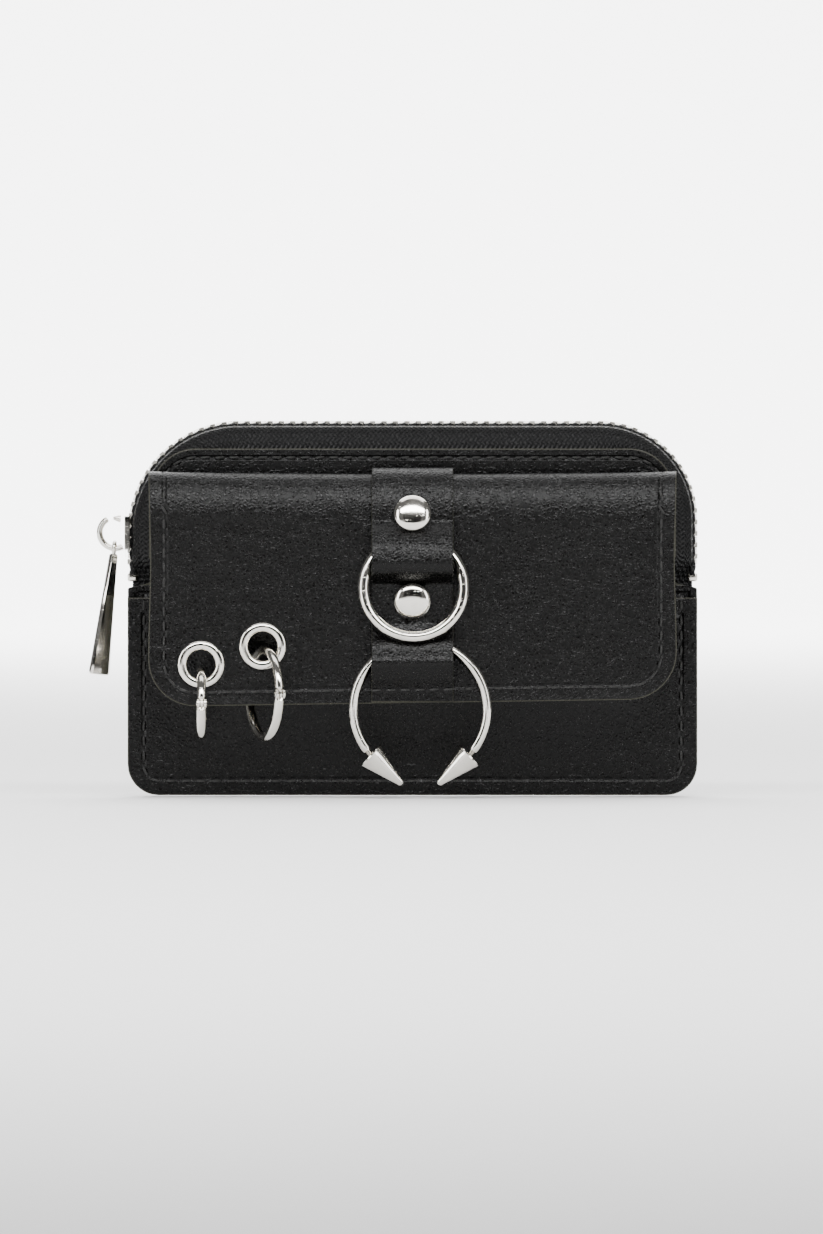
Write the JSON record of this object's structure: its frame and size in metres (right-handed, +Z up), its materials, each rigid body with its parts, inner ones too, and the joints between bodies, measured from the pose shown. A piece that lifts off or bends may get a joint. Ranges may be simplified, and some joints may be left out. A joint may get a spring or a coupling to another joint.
{
  "type": "chain wallet",
  "caption": "Small zip-round wallet with a front flap pocket, a riveted centre strap, and plain, spiked and hinged rings hanging from the flap as clip points.",
  "frame": {"origin": "middle of the bottom seam, on the plane of the zip", "axes": "+X to the viewer's right along the seam, +Y out of the back, +Z up from the bottom seam to the zip"},
  "size_m": [0.1284, 0.0331, 0.0789],
  "materials": {
    "leather": "fine grain",
    "lining": "woven",
    "zip_tape": "woven",
    "zip_metal": "polished",
    "hardware": "polished"
  },
  "bodies": {
    "wallet_body": {"back_panel_lower": "leather", "back_panel_fold": "leather", "back_lining_lower": "lining", "front_panel": "leather", "front_lining": "lining", "seam_edges": "leather", "pocket_panel": "leather", "pocket_lining": "lining", "snap_socket": "hardware", "snap_socket_washer": "hardware", "front_tape": "zip_tape", "front_teeth": "zip_metal", "pivot_teeth": "zip_metal", "zip_stop_left": "zip_metal", "zip_stop_right": "zip_metal", "flap_leg": "leather", "flap_fold": "leather", "strap_fold": "leather"},
    "mouth": {"back_panel_upper": "leather", "back_lining_upper": "lining", "back_tape": "zip_tape", "back_teeth": "zip_metal"},
    "zip_slider": {"slider_plate": "hardware", "slider_lock_pin": "hardware", "slider_inner_plate": "hardware"},
    "zip_pull": {"pull_tab": "hardware"},
    "flap": {"flap_panel": "leather", "flap_lining": "lining", "strap": "leather", "rivet_caps": "hardware", "rivet_backs": "hardware", "eyelet_left": "hardware", "eyelet_right": "hardware", "eyelet_washer_left": "hardware", "eyelet_washer_right": "hardware", "snap_stud": "hardware"},
    "o_ring": {"o_ring": "hardware"},
    "horseshoe": {"horseshoe_bar": "hardware", "spike_left": "hardware", "spike_right": "hardware"},
    "hoop_left": {"hoop_left_upper": "hardware", "hoop_left_pin": "hardware"},
    "hoop_left_gate": {"hoop_left_gate": "hardware"},
    "hoop_right": {"hoop_right_upper": "hardware", "hoop_right_pin": "hardware"},
    "hoop_right_gate": {"hoop_right_gate": "hardware"}
  },
  "joints": [
    {"name": "flap_hinge", "type": "hinge", "parent": "wallet_body", "child": "flap", "pos_m": [0, -0.0116, 0.064], "axis": [-1, 0, 0], "range_deg": [0, 135], "deforming": ["flap_fold", "strap_fold"]},
    {"name": "slider_run", "type": "hinge", "parent": "wallet_body", "child": "zip_slider", "pos_m": [-0.0365, 0, 0.0553], "axis": [0, 1, 0], "range_deg": [0, 90]},
    {"name": "mouth_hinge", "type": "hinge", "parent": "wallet_body", "child": "mouth", "pos_m": [0, 0, 0.0444], "axis": [-1, 0, 0], "range_deg": [0, 25], "deforming": ["back_panel_fold"]},
    {"name": "pull_swing", "type": "hinge", "parent": "zip_slider", "child": "zip_pull", "pos_m": [-0.06265, 0, 0.0553], "axis": [0, 1, 0], "range_deg": [0, 110]},
    {"name": "o_ring_swing", "type": "hinge", "parent": "flap", "child": "o_ring", "pos_m": [0.00025, -0.0179, 0.0543], "axis": [-1, 0, 0], "range_deg": [0, 6]},
    {"name": "horseshoe_swing", "type": "hinge", "parent": "flap", "child": "horseshoe", "pos_m": [0.0016, -0.0177, 0.0324], "axis": [-1, 0, 0], "range_deg": [0, 18]},
    {"name": "left_hoop_swivel", "type": "hinge", "parent": "flap", "child": "hoop_left", "pos_m": [-0.0443, -0.01575, 0.01975], "axis": [0, 0, 1], "range_deg": [-20, 20]},
    {"name": "left_gate_hinge", "type": "hinge", "parent": "hoop_left", "child": "hoop_left_gate", "pos_m": [-0.04406, -0.02255, 0.01975], "axis": [-0.9994, -0.0349, 0], "range_deg": [0, 60]},
    {"name": "right_hoop_swivel", "type": "hinge", "parent": "flap", "child": "hoop_right", "pos_m": [-0.0314, -0.01575, 0.02175], "axis": [0, 0, 1], "range_deg": [-15, 15]},
    {"name": "right_gate_hinge", "type": "hinge", "parent": "hoop_right", "child": "hoop_right_gate", "pos_m": [-0.02775, -0.02525, 0.02175], "axis": [-0.9336, -0.3584, 0], "range_deg": [0, 60]}
  ],
  "couplings": [
    {"joint": "mouth_hinge", "follows": "slider_run", "ratio": 0.27778}
  ]
}
